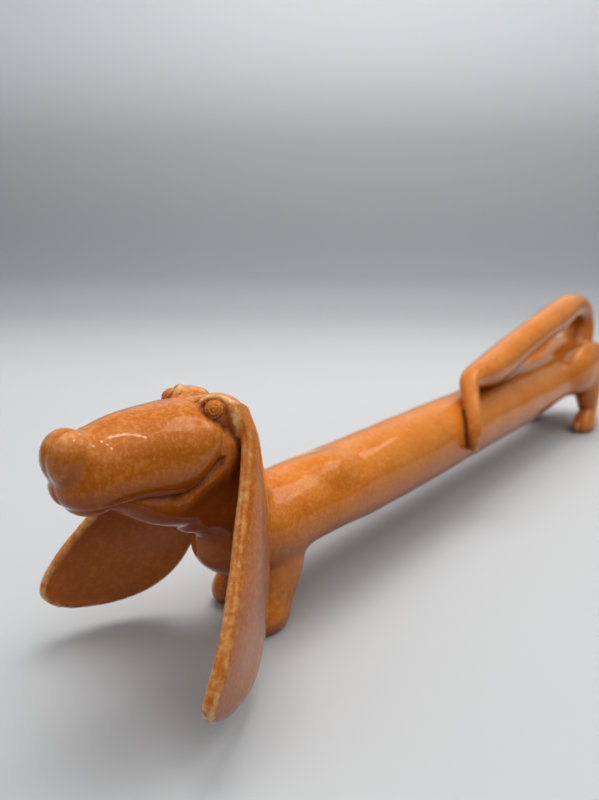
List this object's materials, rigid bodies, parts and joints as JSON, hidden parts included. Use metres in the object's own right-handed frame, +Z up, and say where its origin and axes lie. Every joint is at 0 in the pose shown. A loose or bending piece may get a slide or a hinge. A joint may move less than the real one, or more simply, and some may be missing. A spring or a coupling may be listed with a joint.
{
  "type": "ceramic dog figurine",
  "caption": "Long low glazed ceramic dachshund standing on stubby legs, with broad flared ears, engraved eyes and a thin tail that arches forward and drapes over its back.",
  "frame": {"origin": "middle of the bounding box in X and Y, at floor level under the paws", "axes": "+Z up, the dog faces -Y with its tail towards +Y, and its left side is +X"},
  "size_m": [0.0934, 0.452, 0.0996],
  "materials": {
    "orange_glaze": "glossy",
    "pale_glaze": "glossy"
  },
  "bodies": {
    "root": {"body_shell": "orange_glaze", "brow_left": "pale_glaze", "brow_right": "pale_glaze", "cheek_fold_left": "orange_glaze", "cheek_fold_right": "orange_glaze", "ear_left": "orange_glaze", "ear_right": "orange_glaze", "eye_left": "pale_glaze", "eye_right": "pale_glaze", "eyelid_left": "orange_glaze", "eyelid_right": "orange_glaze", "forehead_fold": "orange_glaze", "foreleg_left": "orange_glaze", "foreleg_right": "orange_glaze", "haunch_left": "orange_glaze", "haunch_right": "orange_glaze", "head_shell": "orange_glaze", "hind_leg_left": "orange_glaze", "hind_leg_right": "orange_glaze", "lower_jaw": "orange_glaze", "neck": "orange_glaze", "nose": "pale_glaze", "tail": "orange_glaze"}
  },
  "joints": []
}
